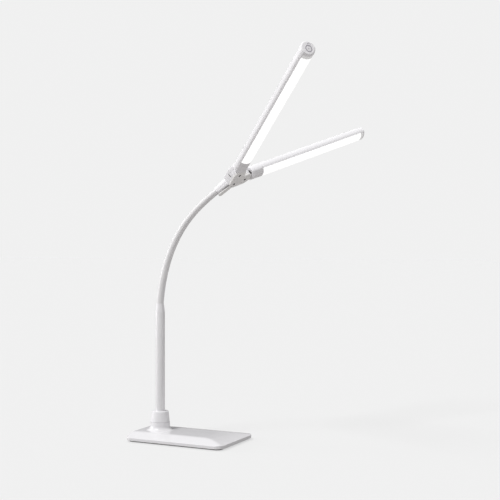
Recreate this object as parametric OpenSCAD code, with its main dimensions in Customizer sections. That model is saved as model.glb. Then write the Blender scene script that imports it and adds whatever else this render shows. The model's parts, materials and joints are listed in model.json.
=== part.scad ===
// Folding desk lamp: two light bars hinged on a hub, carried over a flat base by a stem and a bendable neck.
// +Z is up. The origin is the middle of the non-slip pad's underside. +X runs along the base, from the
// stem end to the front, and the neck leans over towards +X.

/* [Base] */
// Length of the base along X
base_l = 180; // [150:1:230]
// Width of the base along Y
base_w = 120; // [100:1:170]
// Height of the base's flat top above the table
base_h = 13.5; // [13.5:0.5:18]
// Radius of the base's corners in plan
base_corner = 13; // [9:1:24]
// Height above the table where the upright rim ends
rim_top = 7.8; // [7.5:0.1:8.6]
// Height of the cover's lower edge above the table
cover_low = 2.6; // [2:0.1:3.4]
// Width of the gentle slope along each long side
slope_run = 29; // [15:1:30]
// Length over which the top rolls down to the rim at the front end
front_run = 50; // [20:1:60]
// Wall of the plastic cover
cover_wall = 2.2; // [1.6:0.1:2.4]
// Distance from the cover's edge to the steel plate's edge
plate_inset = 4.2; // [3.4:0.1:5]
// Thickness of the steel plate
plate_t = 3.2; // [2.4:0.1:3.2]
// Length of the non-slip pad
pad_l = 140; // [90:1:140]
// Width of the non-slip pad
pad_w = 82; // [60:1:82]
// Thickness of the non-slip pad
pad_t = 1.2; // [1:0.1:1.6]
// Length of the steel counterweight
weight_l = 104; // [60:1:104]
// Width of the steel counterweight
weight_w = 68; // [40:1:68]
// Thickness of the steel counterweight
weight_t = 4.2; // [3:0.1:4.4]

/* [Stem] */
// Distance of the stem from the base's rear end
stem_back = 33; // [30:1:50]
// Outer diameter of the stem tube
stem_d = 16; // [15:0.1:16.5]
// Wall of the stem tube
stem_wall = 1.2; // [0.8:0.1:1.4]
// Height of the stem tube's top above the table
stem_top = 212; // [120:1:320]
// Diameter of the socket that stands on the base
socket_d = 33; // [30:0.5:38]
// Height of the socket's top above the table
socket_top = 27; // [25:0.5:34]
// Radius of the fillet where the socket meets the base
socket_fillet = 5; // [3:0.5:6]
// Height of the loose ring on top of the socket
collar_h = 18; // [10:0.5:30]
// Diameter of the ring's top
collar_top_d = 28; // [25:0.5:30]

/* [Neck] */
// Diameter of the neck where it leaves the stem
neck_low_d = 12.4; // [11:0.1:13]
// Diameter of the neck where it enters the hub
neck_high_d = 10.4; // [9.8:0.1:11]
// Distance between two neighbouring pivots of the neck
link_l = 26.5; // [22:0.5:34]
// Lean of each link from upright, from the stem to the hub
link_lean = [7, 12, 17, 23, 30, 37.5, 45, 50.5];
// Lean of the hub from upright
hub_lean = 52.5; // [51:0.5:54]
// Turn of the neck's bend about the stem, away from the base's length
neck_turn = 15; // [-40:1:40]
// Radius of the ball at the start of each link
ball_r = 8; // [7.6:0.1:9]
// Bore of the neck for the wires
neck_bore_d = 5; // [3.6:0.1:5.4]

/* [Hub] */
// Distance between the two fold pivots
pivot_gap = 30; // [29:0.5:34]
// Radius of the round lobe about each pivot
lobe_r = 13; // [12.6:0.1:13.4]
// Distance from the last neck pivot to the fold pivots
hub_reach = 52; // [48:0.5:60]
// Roll of the hub about the neck's end
hub_roll = -9; // [-20:1:20]
// Height of the hub's top above the bars' axes
hub_high = 12; // [11:0.5:13]
// Depth of the hub's underside below the bars' axes
hub_deep = 6.5; // [6.3:0.1:7.5]
// Height of the neck's axis above the bars' axes
neck_rise = 3; // [2:0.5:3.5]
// Diameter of the pivot pins
pin_d = 6; // [5:0.1:6.4]

/* [Light bars] */
// Distance from a fold pivot to the bar's far end
bar_l = 306; // [240:1:360]
// Diameter of the bars
bar_d = 25; // [24.6:0.1:25.4]
// Wall of the bar's housing
bar_wall = 1.6; // [1.2:0.1:1.8]
// Distance from the pivot to the start of the diffuser
diffuser_start = 39; // [38:1:60]
// Depth of the diffuser's lowest line below the bar's axis
diffuser_deep = 9.5; // [8.5:0.1:10.5]
// Wall of the diffuser
diffuser_wall = 1.6; // [1:0.1:2]
// Length of the cap at the bar's far end
cap_l = 9; // [8:0.5:14]
// Fold of the near bar away from the neck's direction
near_fold = 46; // [0:0.5:90]
// Fold of the far bar away from the neck's direction
far_fold = 48.5; // [0:0.5:90]
// Lamps along each bar
led_count = 24; // [8:1:30]
// Outer diameter of the touch ring on the near bar's cap
touch_d = 11.2; // [9:0.1:11.6]

/* [Hidden] */
$fn = 96;
roll_fn = 720;
// clearances: seats between parts that stay still, running fits, and free gaps between moving parts
seat_gap = 0.05;
run_gap = 0.08;
free_gap = 0.3;
eps = 0.01;

// base
stem_x = stem_back - base_l / 2;
plate_low = 0.8;
plate_top = plate_low + plate_t;
pad_recess = pad_t - plate_low;
ledge_t = 1.5;
ledge_w = 2.6;
screw_in = [13, 14];
screw_x = base_l / 2 - screw_in[0];
screw_y = base_w / 2 - screw_in[1];
screw_spots = [for (sx = [-1, 1], sy = [-1, 1]) [sx * screw_x, sy * screw_y]];
weight_gap = 19;
weight_x = stem_x + weight_gap;
weight_mid = weight_x + weight_l / 2;
weight_screw_in = 14;
weight_screws = [for (s = [-1, 1]) [weight_mid + s * (weight_l / 2 - weight_screw_in), 0]];
post_r = 3.4;
screw_head_r = 2.7;
screw_head_t = 1.6;
screw_r = 1.45;
screw_reach = 3.1;
front_drop = base_h - rim_top;
front_r = (pow(front_run, 2) + pow(front_drop, 2)) / (2 * front_drop);

// stem
stem_seat = 15;
seat_pad_r = 11;
seat_pad_low = plate_top + 4.6;
nipple_r = 5;
nipple_bore_r = 3.2;
board_w = 8.6;
board_x = stem_x - 11.6 - board_w;
nut_t = 3;
nut_r = 9;
insert_h = 18;
stem_in_r = stem_d / 2 - stem_wall;
spigot_h = 12;
reducer_h = 14.5;

// neck
links = len(link_lean);
neck_r0 = neck_low_d / 2;
neck_r1 = neck_high_d / 2;
function neck_r(i) = neck_r0 + (neck_r1 - neck_r0) * i / links;
first_pivot = stem_top + reducer_h + sqrt(ball_r * ball_r - neck_r0 * neck_r0);
function link_step(i) = link_l * [sin(link_lean[i]), 0, cos(link_lean[i])];
function pivot_at(i) = i == 0 ? [0, 0, 0] : pivot_at(i - 1) + link_step(i - 1);

// hub
hub_split = -3.3;
tongue_half = 3;
washer_low = tongue_half + free_gap;
washer_t = 1.5;
pocket_top = washer_low + washer_t;
knuckle_r = lobe_r - 0.4;
pin_r = pin_d / 2;
pin_top = pocket_top + 3.8;
clamp_x = -18;
boss_back = -hub_reach + 4;
boss_front = -22;
tongue_x = -44;
tongue_r = 6;
tongue_t = 2;
web_x = -24.5;
web_half = 8.5;
web_front = 2;
// the web's flanks run from its rear corners and touch the lobes' circles
web_to_lobe = [-web_x, pivot_gap / 2 - web_half];
web_turn = atan2(web_to_lobe[1], web_to_lobe[0]) + asin(lobe_r / norm(web_to_lobe));
web_flank = sqrt(pow(norm(web_to_lobe), 2) - lobe_r * lobe_r);
web = [[web_x, web_half], [web_x + web_flank * cos(web_turn), web_half + web_flank * sin(web_turn)],
  [web_front, pivot_gap / 2]];
slot_along = 17.3;
slot_mid = 2.9;
slot_size = [1.8, 3, 6.9];
hub_screw_r = 1.2;
hub_screw_head = 2.2;
hub_recess = 2;

// light bars
bar_r = bar_d / 2;
bar_in = bar_r - bar_wall;
root_l = 20;
lobe_clear = lobe_r + 0.4;
plug_l = 14;
wire_x = pin_r + 6.3;
lip_z = -3;
lip_in = 0.6;
web_low = 0.6;
web_t = 1.4;
tube_end = bar_l - cap_l;
diffuser_half = bar_r - 0.9;
diffuser_drop = diffuser_deep + lip_z;
diffuser_r = (pow(diffuser_half, 2) + pow(diffuser_drop, 2)) / (2 * diffuser_drop);
diffuser_mid = diffuser_r - diffuser_deep;
board_half = 7.5;
board_t = 1.3;
led_size = [3.5, 2.8, 0.8];
cap_edge = 2;
touch_r = touch_d / 2;
mode_r = 2.1;
mode_side = 4;
mode_rise = 7.2;
cap_face = 2.2;

// ---- shared shapes ----

// Flat rectangle with round corners
module round_rect(l, w, r) {
  square([l - 2 * r, w], center = true);
  square([l, w - 2 * r], center = true);
  for (sx = [-1, 1], sy = [-1, 1]) translate([sx * (l / 2 - r), sy * (w / 2 - r)]) circle(r);
}

// A flat outline drawn across Y and Z, carried along X from x0 to x1
module along_x(x0, x1) {
  translate([x0, 0, 0]) rotate([90, 0, 90]) linear_extrude(x1 - x0) children();
}

// Cylinder along X
module rod_x(r, x0, x1) {
  translate([x0, 0, 0]) rotate([0, 90, 0]) cylinder(r = r, h = x1 - x0);
}

// Countersunk screw driven upwards, with its head's underside at z = 0
module screw_up(head_r, head_t, shank_r, reach) {
  difference() {
    union() {
      cylinder(r = head_r, h = head_t);
      cylinder(r = shank_r, h = head_t + reach);
    }
    for (a = [0, 90]) rotate([0, 0, a]) translate([0, 0, 0.25]) cube([head_r * 1.3, 0.6, 0.9], center = true);
  }
}

// ---- base ----

// Body of the base: rounded plan, sloping long sides and a top that rolls down at the front end,
// inset on plan and lowered by drop
module base_form(inset, drop, low) {
  half = base_w / 2 - inset;
  flat = base_w / 2 - slope_run;
  intersection() {
    translate([0, 0, low]) linear_extrude(base_h - low)
      round_rect(base_l - 2 * inset, base_w - 2 * inset, base_corner - inset);
    along_x(-base_l / 2, base_l / 2) polygon([[-half, low], [half, low], [half, rim_top - drop],
      [flat, base_h - drop], [-flat, base_h - drop], [-half, rim_top - drop]]);
    union() {
      translate([-base_l, -base_w, low - 1])
        cube([1.5 * base_l - front_run, 2 * base_w, base_h - drop - low + 1]);
      translate([base_l / 2 - front_run, 0, base_h - drop - front_r]) rotate([90, 0, 0])
        cylinder(r = front_r, h = base_w, center = true, $fn = roll_fn);
    }
  }
}

// Stem socket's outline: straight above, flaring into the base through a fillet
module socket_outline() {
  foot = base_h;
  wide = socket_d / 2 + socket_fillet;
  difference() {
    translate([0, foot - 2]) square([wide, socket_top - foot + 2]);
    translate([wide, foot + socket_fillet]) circle(socket_fillet);
    translate([socket_d / 2, foot + socket_fillet]) square([wide, socket_top]);
  }
}

module base_cover() {
  ledge_in = ledge_w + plate_inset;
  jack_gap = 4.1;
  color("whitesmoke") difference() {
    union() {
      difference() {
        base_form(0, 0, cover_low);
        base_form(cover_wall, cover_wall, cover_low - eps);
      }
      // ledge that the steel plate is screwed up against
      intersection() {
        base_form(cover_wall / 2, cover_wall / 2, plate_top);
        difference() {
          translate([0, 0, plate_top]) linear_extrude(ledge_t) square([base_l, base_w], center = true);
          translate([0, 0, plate_top - eps]) linear_extrude(ledge_t + 1)
            round_rect(base_l - 2 * ledge_in, base_w - 2 * ledge_in, base_corner / 2);
        }
      }
      // screw posts
      intersection() {
        base_form(cover_wall / 2, cover_wall / 2, plate_top);
        for (p = screw_spots) translate([p[0], p[1], plate_top]) cylinder(r = post_r, h = base_h);
      }
      // stem socket and the pad under it that the nut pulls against
      translate([stem_x, 0, 0]) rotate_extrude() socket_outline();
      translate([stem_x, 0, seat_pad_low]) cylinder(r = seat_pad_r, h = base_h - seat_pad_low - 1);
    }
    translate([stem_x, 0, stem_seat]) cylinder(r = stem_d / 2 + seat_gap, h = socket_top);
    translate([stem_x, 0, 0]) cylinder(r = nipple_r + seat_gap, h = socket_top);
    for (p = screw_spots) translate([p[0], p[1], plate_top - eps])
      cylinder(r = screw_r + seat_gap, h = screw_reach);
    // room for the power socket and its plug hole
    translate([-base_l / 2 + cover_wall, -jack_gap, plate_top - eps])
      cube([ledge_in, 2 * jack_gap, ledge_t + 2 * eps]);
    translate([0, 0, plate_top + 2.2]) rod_x(2.5, -base_l / 2 - 1, -base_l / 2 + cover_wall + 1);
  }
}

module base_plate() {
  color("dimgray") difference() {
    translate([0, 0, plate_low]) linear_extrude(plate_t)
      round_rect(base_l - 2 * plate_inset, base_w - 2 * plate_inset, base_corner - plate_inset);
    translate([0, 0, plate_low - eps]) linear_extrude(pad_recess + eps)
      round_rect(pad_l + 2 * free_gap, pad_w + 2 * free_gap, 8 + free_gap);
    for (p = concat(screw_spots, weight_screws)) translate([p[0], p[1], 0]) {
      cylinder(r = screw_r + seat_gap, h = plate_top + 1);
      cylinder(r = screw_head_r + seat_gap, h = plate_top - screw_head_t + 0.6);
    }
  }
}

module non_slip_pad() {
  color("darkgray") linear_extrude(pad_t) round_rect(pad_l, pad_w, 8);
}

module base_screws() {
  color("silver") for (p = concat(screw_spots, weight_screws))
    translate([p[0], p[1], plate_top - screw_head_t + 0.6 - screw_head_t])
      screw_up(screw_head_r, screw_head_t, screw_r, screw_reach + screw_head_t - 0.8);
}

module counterweight() {
  color("gray") translate([weight_mid, 0, plate_top]) difference() {
    linear_extrude(weight_t) round_rect(weight_l, weight_w, 4);
    for (p = weight_screws) translate([p[0] - weight_mid, 0, -eps])
      cylinder(r = screw_r + seat_gap, h = screw_reach);
  }
}

// Circuit board between the power socket and the stem, on two feet, with its coils and chips
module driver_board() {
  low = plate_top + 0.6;
  color("seagreen") translate([board_x, 0, 0]) {
    translate([0, -13, low]) cube([board_w, 26, 1.2]);
    for (y = [-10, 10]) translate([board_w / 2, y, plate_top]) cylinder(r = 1.5, h = 0.7);
    translate([1, -11, low + 1.2 - eps]) cube([5, 6, 1.3]);
    translate([4, -1, low + 1.2 - eps]) cylinder(r = 2.4, h = 1.3);
    translate([1.5, 5, low + 1.2 - eps]) cube([6, 3.4, 1]);
  }
}

module dc_jack() {
  color("dimgray") translate([-base_l / 2 + cover_wall + 0.1, 0, plate_top]) difference() {
    translate([0, -3.7, 0]) cube([10, 7.4, 4.2]);
    translate([0, 0, 2.2]) rod_x(1.8, -1, 8);
  }
}

// ---- stem ----

module at_stem() { translate([stem_x, 0, 0]) children(); }

module stem_tube() {
  color("whitesmoke") at_stem() translate([0, 0, stem_seat]) difference() {
    cylinder(r = stem_d / 2, h = stem_top - stem_seat);
    translate([0, 0, -1]) cylinder(r = stem_in_r, h = stem_top);
  }
}

module stem_insert() {
  color("gold") at_stem() translate([0, 0, stem_seat]) difference() {
    cylinder(r = stem_in_r - seat_gap, h = insert_h);
    translate([0, 0, -1]) cylinder(r = nipple_r + seat_gap, h = insert_h + 2);
  }
}

module stem_nipple() {
  low = seat_pad_low - nut_t;
  color("gold") at_stem() translate([0, 0, low]) difference() {
    cylinder(r = nipple_r, h = stem_seat + insert_h - low);
    translate([0, 0, -1]) cylinder(r = nipple_bore_r, h = stem_seat + insert_h);
  }
}

module stem_nut() {
  color("silver") at_stem() translate([0, 0, seat_pad_low - nut_t]) difference() {
    cylinder(r = nut_r, h = nut_t, $fn = 6);
    translate([0, 0, -1]) cylinder(r = nipple_r + seat_gap, h = nut_t + 2);
  }
}

// Pair of wires from the circuit board, under the nut and up inside the stem
module stem_lead() {
  wire_r = 0.7;
  low = plate_top + wire_r + 0.1;
  run = stem_x - board_x - board_w - 0.1;
  color("firebrick") for (s = [-1, 1]) at_stem() {
    translate([0, s * 0.8, low]) cylinder(r = wire_r, h = stem_top + reducer_h - 6 - low, $fn = 24);
    translate([0, s * 0.8, low]) sphere(wire_r, $fn = 24);
    translate([0, s * 0.8, low]) rotate([0, -90, 0]) cylinder(r = wire_r, h = run, $fn = 24);
  }
}

module collar_ring() {
  top = socket_top + collar_h;
  wall = 2.4;
  lip = 1.2;
  bore = stem_d / 2 + 0.15;
  color("whitesmoke") at_stem() rotate_extrude() polygon([[socket_d / 2 - 0.2, socket_top],
    [collar_top_d / 2, top - lip], [collar_top_d / 2 - lip, top], [bore, top], [bore, top - 3],
    [collar_top_d / 2 - wall, top - 3], [socket_d / 2 - 0.2 - wall, socket_top]]);
}

// Cone that steps the tube down to the neck, with the cup for the first ball
module neck_reducer() {
  color("whitesmoke") at_stem() difference() {
    union() {
      translate([0, 0, stem_top - spigot_h]) cylinder(r = stem_in_r - seat_gap, h = spigot_h + eps);
      translate([0, 0, stem_top]) cylinder(r1 = stem_d / 2, r2 = neck_r0, h = reducer_h + 0.5);
    }
    translate([0, 0, stem_top - spigot_h - 1]) cylinder(d = neck_bore_d, h = spigot_h + reducer_h);
    translate([0, 0, first_pivot]) sphere(ball_r);
  }
}

// ---- neck ----

// Frame of neck pivot i, not yet leaned
module at_pivot(i) {
  translate([stem_x, 0, first_pivot]) rotate([0, 0, neck_turn]) translate(pivot_at(i)) children();
}

// Ball end of a link, below z = 0
module ball_end(r) {
  intersection() {
    sphere(ball_r - run_gap);
    translate([0, 0, -ball_r]) cylinder(r = r, h = ball_r + eps);
  }
}

// Link i: ball at its start, cup at its end, bored for the wires
module neck_link(i) {
  color("whitesmoke") at_pivot(i) rotate([0, link_lean[i], 0]) difference() {
    union() {
      ball_end(neck_r(i));
      cylinder(r1 = neck_r(i), r2 = neck_r(i + 1), h = link_l);
    }
    translate([0, 0, link_l]) sphere(ball_r);
    translate([0, 0, -ball_r - 1]) cylinder(d = neck_bore_d, h = link_l + ball_r + 2);
  }
}

// ---- hub ----

// The hub's own frame: X towards the bars, Z out of its top, origin midway between the fold pivots
module at_hub() {
  at_pivot(links) rotate([0, hub_lean - 90, 0]) rotate([hub_roll, 0, 0])
    translate([hub_reach, 0, -neck_rise]) children();
}

// Hub's body of height h: two lobes and the web that joins them
module hub_form(h) {
  linear_extrude(h) polygon(concat(web, [for (k = [2:-1:0]) [web[k][0], -web[k][1]]]));
  for (s = [-1, 1]) translate([0, s * pivot_gap / 2, 0]) cylinder(r = lobe_r, h = h);
}

module at_fold_pivots() {
  for (s = [-1, 1]) translate([0, s * pivot_gap / 2, 0]) children();
}

module neck_ferrule() {
  color("whitesmoke") at_hub() translate([-hub_reach, 0, neck_rise]) rotate([0, 90, 0]) difference() {
    union() {
      ball_end(neck_r1);
      cylinder(r = neck_r1, h = hub_reach + boss_front - 2);
    }
    translate([0, 0, -ball_r - 1]) cylinder(d = neck_bore_d, h = hub_reach + ball_r);
  }
}

module hub_cover() {
  roof = 3;
  color("whitesmoke") at_hub() difference() {
    union() {
      difference() {
        translate([0, 0, hub_split]) hub_form(hub_high - hub_split);
        // wiring space behind the pivots
        translate([boss_front, -7, hub_split - eps]) cube([16, 14, hub_high - roof - hub_split]);
      }
      // tapered boss round the neck's ferrule
      intersection() {
        translate([boss_back, 0, neck_rise]) rotate([0, 90, 0])
          cylinder(r1 = neck_r1 + 1.4, r2 = hub_high - neck_rise, h = boss_front - boss_back + 2);
        translate([boss_back - 1, -bar_r, hub_split]) cube([hub_reach, bar_d, bar_d]);
      }
      translate([clamp_x, 0, hub_split]) cylinder(r = 3.2, h = hub_high - hub_split - 1);
    }
    translate([0, 0, neck_rise]) rod_x(neck_r1 + seat_gap, -hub_reach, boss_front);
    at_fold_pivots() {
      translate([0, 0, hub_split - eps]) cylinder(r = lobe_r + eps, h = pocket_top - hub_split + eps);
      translate([0, 0, pocket_top - 1]) cylinder(r = pin_r + seat_gap, h = pin_top - pocket_top + 1.1);
    }
    translate([clamp_x, 0, hub_split - 1]) cylinder(r = hub_screw_r + seat_gap, h = 9);
    // relief slots on both flanks
    for (s = [0, 1]) mirror([0, s, 0]) translate([web_x, web_half, slot_mid]) rotate([0, 0, web_turn])
      translate([slot_along, 0, 0]) cube(slot_size, center = true);
  }
}

module hub_plate() {
  color("gainsboro") at_hub() difference() {
    translate([0, 0, -hub_deep]) {
      hub_form(hub_deep + hub_split);
      translate([tongue_x, 0, 0]) cylinder(r = tongue_r, h = tongue_t);
      translate([tongue_x, -tongue_r, 0]) cube([web[0][0] - tongue_x + 2, 2 * tongue_r, tongue_t]);
    }
    for (p = [[clamp_x, 0], [0, pivot_gap / 2], [0, -pivot_gap / 2]]) translate([p[0], p[1], -hub_deep - 1]) {
      cylinder(r = hub_screw_r + seat_gap, h = hub_deep + 1);
      cylinder(r = hub_screw_head + 0.2, h = 1 + hub_recess);
    }
  }
}

module hub_screws() {
  color("silver") at_hub() for (p = [[clamp_x, 0], [0, pivot_gap / 2], [0, -pivot_gap / 2]])
    translate([p[0], p[1], -hub_deep + hub_recess - 1])
      screw_up(hub_screw_head, 1, hub_screw_r, hub_deep - 0.5);
}

module pivot_pins() {
  color("silver") at_hub() at_fold_pivots() difference() {
    translate([0, 0, hub_split]) cylinder(r = pin_r, h = pin_top - hub_split);
    translate([0, 0, hub_split - 1]) cylinder(r = hub_screw_r + seat_gap, h = 6.2);
  }
}

module friction_washers() {
  color("darkgray") at_hub() at_fold_pivots() translate([0, 0, washer_low]) difference() {
    cylinder(r = pin_r + 4, h = washer_t);
    translate([0, 0, -1]) cylinder(r = pin_r + run_gap, h = washer_t + 2);
  }
}

// ---- light bars, each in a frame at its pivot with X along the bar and Z out of its top ----

module at_bar(side) {
  at_hub() translate([0, side * pivot_gap / 2, 0])
    rotate([0, 0, side > 0 ? far_fold : -near_fold]) children();
}

// Round hinge tongue, the bar's root collar beside the lobe, and the plug that fills the tube's end
module bar_knuckle() {
  tongue_w = 15;
  color("whitesmoke") difference() {
    union() {
      translate([0, 0, -tongue_half]) cylinder(r = knuckle_r, h = 2 * tongue_half);
      translate([0, -tongue_w / 2, -tongue_half]) cube([root_l, tongue_w, 2 * tongue_half]);
      rod_x(bar_r, lobe_clear, root_l);
      rod_x(bar_in - seat_gap, root_l - eps, root_l + plug_l);
    }
    translate([0, 0, -tongue_half - 1]) cylinder(r = pin_r + run_gap, h = 2 * tongue_half + 2);
    // wire way from the hub's inside into the tube
    translate([wire_x, 0, 0]) cylinder(r = 1.5, h = tongue_half + 1);
    rod_x(1.5, wire_x, root_l + plug_l + 1);
  }
}

// Outline that trims the housing's lower flanks inwards
module flank_trim() {
  polygon([[-bar_r, bar_r], [bar_r, bar_r], [bar_r, 0.5], [bar_r - lip_in, lip_z], [-bar_r + lip_in, lip_z],
    [-bar_r, 0.5]]);
}

// Tube, round at its root and open below where the diffuser sits, with a web that carries the lamps
module bar_housing() {
  color("whitesmoke") {
    along_x(root_l, diffuser_start) difference() {
      circle(bar_r);
      circle(bar_in);
    }
    along_x(diffuser_start - eps, tube_end) {
      intersection() {
        flank_trim();
        difference() {
          circle(bar_r);
          circle(bar_in);
        }
      }
      intersection() {
        circle(bar_in + bar_wall / 2);
        translate([-bar_r, web_low]) square([bar_d, web_t]);
      }
    }
  }
}

// Outline of the diffuser, bulging below the housing's lips
module diffuser_outline(wall) {
  difference() {
    intersection() {
      translate([0, diffuser_mid]) circle(diffuser_r);
      translate([-diffuser_half, -bar_r]) square([2 * diffuser_half, bar_r + lip_z]);
    }
    translate([0, diffuser_mid]) circle(diffuser_r - wall);
  }
}

module bar_diffuser() {
  rib_out = bar_in - 0.6;
  rib_t = 1.1;
  start = diffuser_start + 0.1;
  color("white") {
    along_x(start, tube_end - 0.1) {
      diffuser_outline(diffuser_wall);
      for (s = [-1, 1]) translate([s * (rib_out - rib_t / 2), lip_z + 0.1])
        square([rib_t, 2.4], center = true);
    }
    for (x = [start, tube_end - 0.1 - diffuser_wall]) along_x(x, x + diffuser_wall)
      diffuser_outline(diffuser_r);
  }
}

module bar_led_board() {
  color("gainsboro") translate([diffuser_start + 5, -board_half, web_low - board_t])
    cube([tube_end - diffuser_start - 10, 2 * board_half, board_t]);
}

module bar_leds() {
  first = diffuser_start + 11;
  step = (tube_end - diffuser_start - 22) / (led_count - 1);
  color("khaki") for (i = [0:led_count - 1])
    translate([first + i * step, 0, web_low - board_t - led_size[2] / 2]) cube(led_size, center = true);
}

// Cap outline across X and radius, with a rounded outer edge
module cap_outline() {
  square([bar_r - cap_edge, cap_l]);
  square([bar_r, cap_l - cap_edge]);
  translate([bar_r - cap_edge, cap_l - cap_edge]) circle(cap_edge);
}

module bar_end_cap() {
  plug = 10;
  color("whitesmoke") difference() {
    union() {
      translate([tube_end, 0, 0]) rotate([0, 90, 0]) rotate_extrude() cap_outline();
      intersection() {
        rod_x(bar_in - seat_gap, tube_end - plug, tube_end + eps);
        translate([tube_end - plug - 1, -bar_r, web_low + web_t + 0.1]) cube([plug + 2, bar_d, bar_d]);
      }
    }
    rod_x(bar_r - 3, tube_end - plug - 1, bar_l - cap_face);
  }
}

module near_cap() {
  color("whitesmoke") difference() {
    bar_end_cap();
    rod_x(touch_r + seat_gap, bar_l - 1, bar_l + 1);
    translate([0, mode_side, mode_rise]) rod_x(mode_r + seat_gap, bar_l - 0.8, bar_l + 1);
  }
}

module touch_ring() {
  color("slategray") difference() {
    rod_x(touch_r, bar_l - 1, bar_l - 0.1);
    rod_x(touch_r - 1.2, bar_l - 2, bar_l + 1);
  }
}

module touch_pad() {
  color("white") rod_x(touch_r - 1.2 - seat_gap, bar_l - 1, bar_l - 0.2);
}

module mode_window() {
  color("lightgray") translate([0, mode_side, mode_rise]) rod_x(mode_r, bar_l - 0.8, bar_l - 0.1);
}

module touch_board() {
  color("seagreen") rod_x(bar_r - 3.3, bar_l - cap_face - 1.3, bar_l - cap_face);
}

base_cover();
base_plate();
non_slip_pad();
base_screws();
counterweight();
driver_board();
dc_jack();
stem_tube();
stem_insert();
stem_nipple();
stem_nut();
stem_lead();
collar_ring();
neck_reducer();
neck_link(0);  // neck_link_1
neck_link(1);  // neck_link_2
neck_link(2);  // neck_link_3
neck_link(3);  // neck_link_4
neck_link(4);  // neck_link_5
neck_link(5);  // neck_link_6
neck_link(6);  // neck_link_7
neck_link(7);  // neck_link_8
neck_ferrule();
hub_cover();
hub_plate();
hub_screws();
pivot_pins();
friction_washers();
at_bar(-1) bar_knuckle();  // near_knuckle
at_bar(-1) bar_housing();  // near_housing
at_bar(-1) bar_diffuser();  // near_diffuser
at_bar(-1) bar_led_board();  // near_led_board
at_bar(-1) bar_leds();  // near_leds
at_bar(-1) near_cap();  // near_end_cap
at_bar(-1) touch_ring();  // near_touch_ring
at_bar(-1) touch_pad();  // near_touch_pad
at_bar(-1) mode_window();  // near_mode_window
at_bar(-1) touch_board();  // near_touch_board
at_bar(1) bar_knuckle();  // far_knuckle
at_bar(1) bar_housing();  // far_housing
at_bar(1) bar_diffuser();  // far_diffuser
at_bar(1) bar_led_board();  // far_led_board
at_bar(1) bar_leds();  // far_leds
at_bar(1) bar_end_cap();  // far_end_cap
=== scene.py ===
"""Dresses the folding desk lamp's CAD model: skins, finishes, floor, lights and camera.

Lengths are in metres. Every skin is worked out as arrays of points in the lamp's own frame, with +Z up and
the origin under the middle of the base.
"""

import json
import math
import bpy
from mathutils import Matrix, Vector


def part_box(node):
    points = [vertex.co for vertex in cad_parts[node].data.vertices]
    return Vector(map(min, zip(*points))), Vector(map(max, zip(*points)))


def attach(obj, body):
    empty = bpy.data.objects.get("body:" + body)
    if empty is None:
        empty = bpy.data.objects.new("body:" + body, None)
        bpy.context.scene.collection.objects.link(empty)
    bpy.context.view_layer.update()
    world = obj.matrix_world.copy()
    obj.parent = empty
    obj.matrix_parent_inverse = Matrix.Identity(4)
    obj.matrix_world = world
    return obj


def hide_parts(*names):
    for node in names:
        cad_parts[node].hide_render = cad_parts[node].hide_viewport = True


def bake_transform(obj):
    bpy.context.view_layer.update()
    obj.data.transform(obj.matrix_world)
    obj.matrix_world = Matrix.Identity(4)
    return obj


bl_info = {
    "name": "Folding desk lamp",
    "version": (1, 0, 0),
    "blender": (4, 5, 0),
    "location": "View3D > Sidebar > Desk lamp",
    "description": "Builds the skins and finishes of a folding desk lamp over its CAD model",
    "category": "Object",
}

import bpy
import numpy as np
from mathutils import Vector

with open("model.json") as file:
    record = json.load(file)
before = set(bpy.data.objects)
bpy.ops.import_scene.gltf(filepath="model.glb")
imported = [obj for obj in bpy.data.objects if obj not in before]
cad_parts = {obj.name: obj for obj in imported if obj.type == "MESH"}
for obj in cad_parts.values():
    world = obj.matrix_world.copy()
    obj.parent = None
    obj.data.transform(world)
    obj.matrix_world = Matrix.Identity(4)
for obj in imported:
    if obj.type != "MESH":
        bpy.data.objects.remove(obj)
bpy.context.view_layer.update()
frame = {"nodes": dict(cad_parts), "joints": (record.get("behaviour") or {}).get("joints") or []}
NODES = frame["nodes"]
JOINTS = {joint["name"]: joint for joint in frame["joints"]}
NECK_JOINTS = ["neck_bend_lower", "neck_bend_2", "neck_bend_3", "neck_bend_4",
               "neck_bend_upper", "neck_bend_6", "neck_bend_7", "neck_bend_8"]
SHARP = math.radians(32)
BOARD_GREEN, TRACK_GREEN = (0.03, 0.16, 0.06), (0.1, 0.3, 0.1)


# ---- places taken from the frame

def joint_point(name):
    """The joint's place as an array."""
    return np.array(JOINTS[name]["pos_m"], float)


class Place:
    """A frame of its own, with an origin and three unit directions, that carries points into the lamp's."""

    def __init__(self, origin, x, y, z):
        self.origin = np.array(origin, float)
        self.turn = np.array([x, y, z], float)

    def __call__(self, points):
        """Local points to lamp points: origin plus each coordinate times its direction."""
        return self.origin + np.asarray(points, float) @ self.turn

    def moved(self, x=0.0, y=0.0, z=0.0):
        return Place(self([x, y, z]), *self.turn)

    def turned(self, degrees):
        """The same place turned about its own Z."""
        c, s = math.cos(math.radians(degrees)), math.sin(math.radians(degrees))
        x, y, z = self.turn
        return Place(self.origin, c * x + s * y, c * y - s * x, z)


WORLD = Place((0, 0, 0), (1, 0, 0), (0, 1, 0), (0, 0, 1))


def hub_place():
    """The hub's frame: midway between the fold pivots, Y from the near to the far one, Z along their axis."""
    near, far = joint_point("near_fold"), joint_point("far_fold")
    across = (far - near) / np.linalg.norm(far - near)
    up = np.array(JOINTS["far_fold"]["axis"], float)
    return Place((near + far) / 2, np.cross(across, up), across, up)


def bar_place(side):
    """A light bar's frame: origin at its pivot, X along the bar, Z out of its top. It is parallel to the
    hub's X where the fold joint's range begins."""
    joint = JOINTS[side + "_fold"]
    hub = hub_place()
    fold = -joint["range_deg"][0]
    at_pivot = Place(joint["pos_m"], *hub.turn)
    return at_pivot.turned(fold if side == "far" else -fold)


# ---- surfaces

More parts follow.
